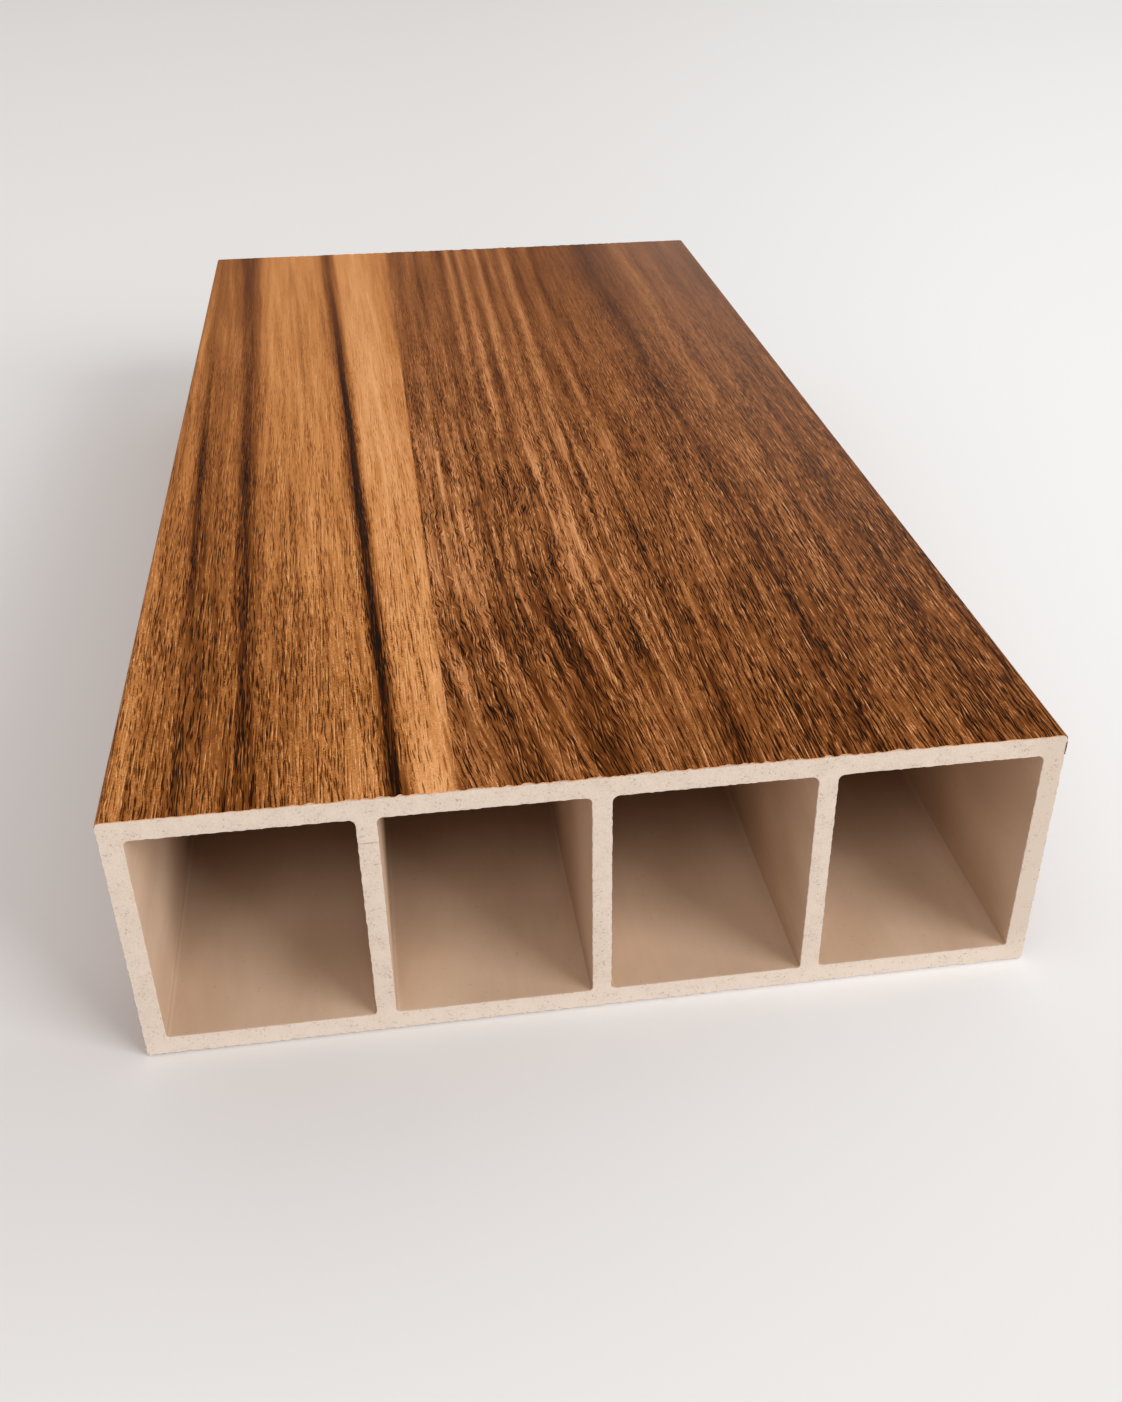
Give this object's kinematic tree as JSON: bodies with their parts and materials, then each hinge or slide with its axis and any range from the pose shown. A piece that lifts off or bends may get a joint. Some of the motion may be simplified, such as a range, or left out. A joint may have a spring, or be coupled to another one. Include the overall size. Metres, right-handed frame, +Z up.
{
  "type": "hollow composite beam",
  "caption": "Short sawn length of hollow rectangular composite beam, with through cells between webs, bare pale ends and a wood-grain film on its outer faces.",
  "frame": {"origin": "middle of the underside, where the beam rests on a level floor", "axes": "+Y along the beam, away from the sawn end that the picture shows; +X across its width, to the right as seen from that end; +Z up through its height"},
  "size_m": [0.15, 0.3, 0.0475],
  "materials": {
    "composite": "bare pinkish beige wood-plastic composite, matt and finely pored where it is sawn, smoother inside the cells",
    "wood_film": "satin printed film with a golden to dark brown wood figure and embossed pores, bonded to the outer faces"
  },
  "bodies": {
    "root": {"hollow_beam": "composite"}
  },
  "joints": []
}
